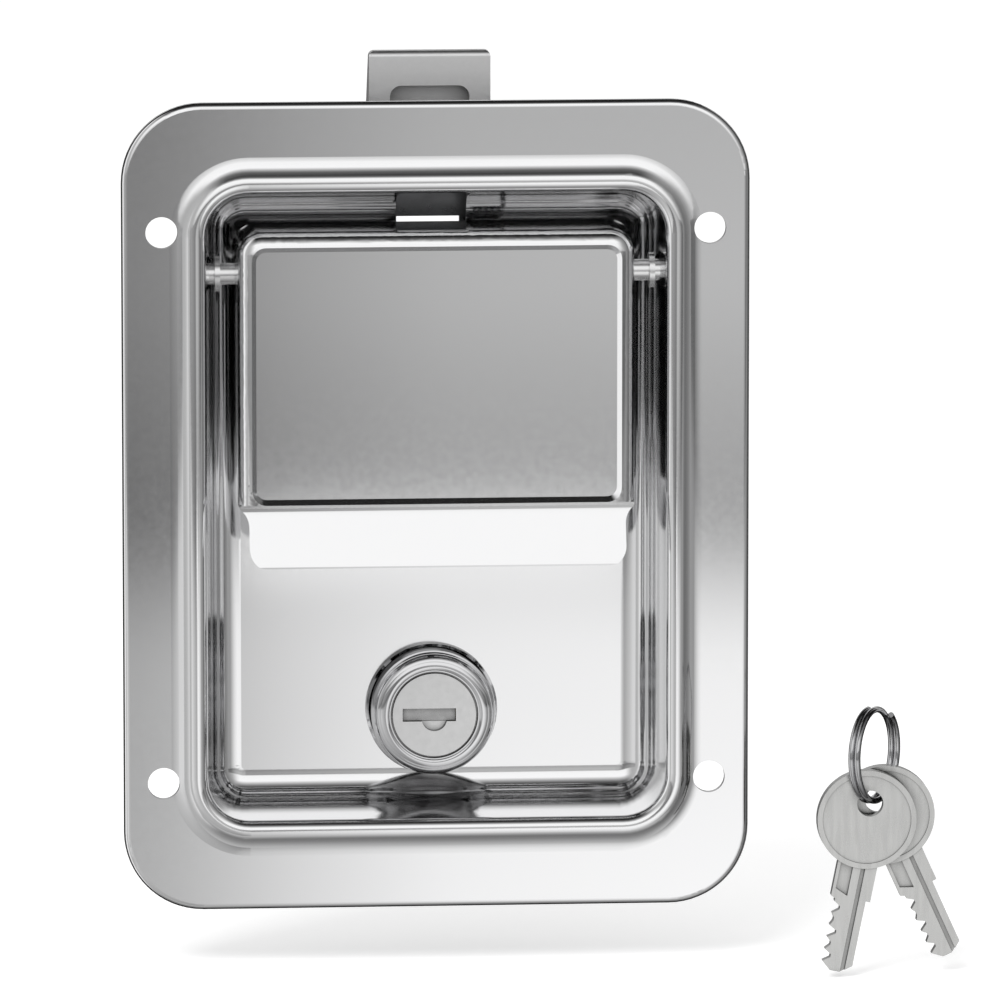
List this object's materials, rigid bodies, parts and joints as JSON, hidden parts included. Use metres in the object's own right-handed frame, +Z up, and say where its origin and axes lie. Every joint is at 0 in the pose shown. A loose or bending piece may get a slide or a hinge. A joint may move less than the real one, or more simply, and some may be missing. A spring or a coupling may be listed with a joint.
{
  "type": "paddle latch",
  "caption": "Flush paddle latch: pressed dish with flange holes, lift paddle that pulls a spring bolt, cam lock, and keys on a split ring.",
  "frame": {"origin": "centre of the four mounting holes, on the flange's back face", "axes": "+X to the right seen from the front, +Y back into the cabinet along the mounting holes, +Z up towards the bolt"},
  "size_m": [0.1459, 0.0489, 0.1592],
  "materials": {
    "polished_stainless": "polished",
    "zinc_steel": "zinc plated, satin",
    "pin_steel": "turned",
    "spring_steel": "drawn wire",
    "cast_steel": "satin cast",
    "lock_chrome": "chromed",
    "lock_face": "satin nickel",
    "wafer_brass": "plain",
    "shutter_steel": "satin",
    "ring_steel": "polished wire",
    "key_nickel": "nickel plated"
  },
  "bodies": {
    "latch_frame": {"dish_plate": "polished_stainless", "pivot_pin": "pin_steel", "pin_washer_left": "pin_steel", "pin_washer_right": "pin_steel", "bolt_housing": "zinc_steel", "lock_body": "lock_chrome", "lock_nut": "zinc_steel"},
    "lift_paddle": {"paddle": "polished_stainless", "paddle_lever": "zinc_steel", "paddle_spring": "spring_steel"},
    "latch_slide": {"slide_plate": "zinc_steel", "bolt": "cast_steel", "bolt_rivets": "zinc_steel", "bolt_spring": "spring_steel"},
    "plug": {"lock_plug": "lock_face", "plug_wafers": "wafer_brass", "lock_cam": "zinc_steel", "cam_washer": "zinc_steel", "cam_screw": "zinc_steel"},
    "shutter": {"key_shutter": "shutter_steel"},
    "ring": {"key_ring": "ring_steel"},
    "front_key": {"key_front": "key_nickel"},
    "rear_key": {"key_rear": "key_nickel"}
  },
  "joints": [
    {"name": "paddle_swing", "type": "hinge", "parent": "latch_frame", "child": "lift_paddle", "pos_m": [0, 0.004, 0.0407], "axis": [-1, 0, 0], "range_deg": [0, 30], "stiffness_Nm_per_rad": 0.3, "springref_deg": -20.05},
    {"name": "bolt_slide", "type": "slide", "parent": "latch_frame", "child": "latch_slide", "axis": [0, 0, 1], "range_m": [-0.009, 0], "stiffness_N_per_m": 30, "springref_m": 0.012, "deforming": ["bolt_spring"]},
    {"name": "plug_turn", "type": "hinge", "parent": "latch_frame", "child": "plug", "pos_m": [0, 0.012, -0.038], "axis": [0, 1, 0], "range_deg": [-90, 0]},
    {"name": "shutter_flip", "type": "hinge", "parent": "plug", "child": "shutter", "pos_m": [-0.0009, 0.00525, -0.0364], "axis": [1, 0, 0], "range_deg": [0, 70], "stiffness_Nm_per_rad": 0.0001, "springref_deg": -22.92},
    {"name": "keys_away", "type": "slide", "parent": "latch_frame", "child": "ring", "axis": [0, -1, 0], "range_m": [0, 0.06]},
    {"name": "key_front_swing", "type": "hinge", "parent": "ring", "child": "front_key", "pos_m": [0.07472, -0.01735, -0.05092], "axis": [0, 1, 0], "range_deg": [-20, 12]},
    {"name": "key_rear_swing", "type": "hinge", "parent": "ring", "child": "rear_key", "pos_m": [0.07648, -0.01465, -0.05078], "axis": [0, 1, 0], "range_deg": [-10, 30]}
  ],
  "couplings": [
    {"joint": "bolt_slide", "follows": "paddle_swing", "m_per_rad": -0.017}
  ]
}
